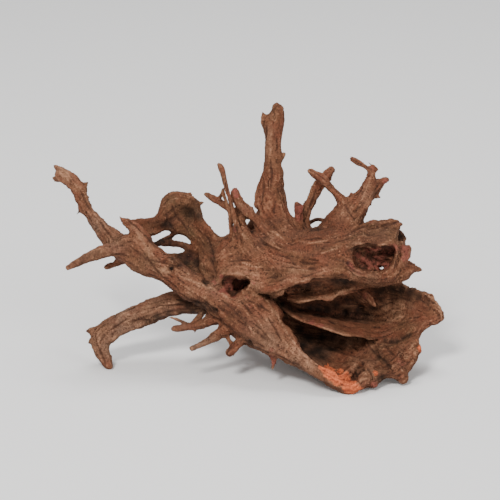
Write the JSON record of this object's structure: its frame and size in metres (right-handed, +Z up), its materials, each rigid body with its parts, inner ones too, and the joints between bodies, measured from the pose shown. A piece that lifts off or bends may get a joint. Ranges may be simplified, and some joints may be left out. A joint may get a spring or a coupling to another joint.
{
  "type": "aquarium driftwood root",
  "caption": "Weathered root crown: a hollow trunk with tapering upright and sideways roots and an open shell below that makes a cave.",
  "frame": {"origin": "on the floor, under the centre of the bounding box", "axes": "+Z up, +X to the viewer's right along the longest side, -Y towards the open side of the cave"},
  "size_m": [0.3964, 0.1766, 0.2568],
  "materials": {
    "wood": "weathered bare wood, matt, brown with darker hollows and redder torn ends"
  },
  "bodies": {
    "root": {"driftwood_root": "wood"}
  },
  "joints": []
}
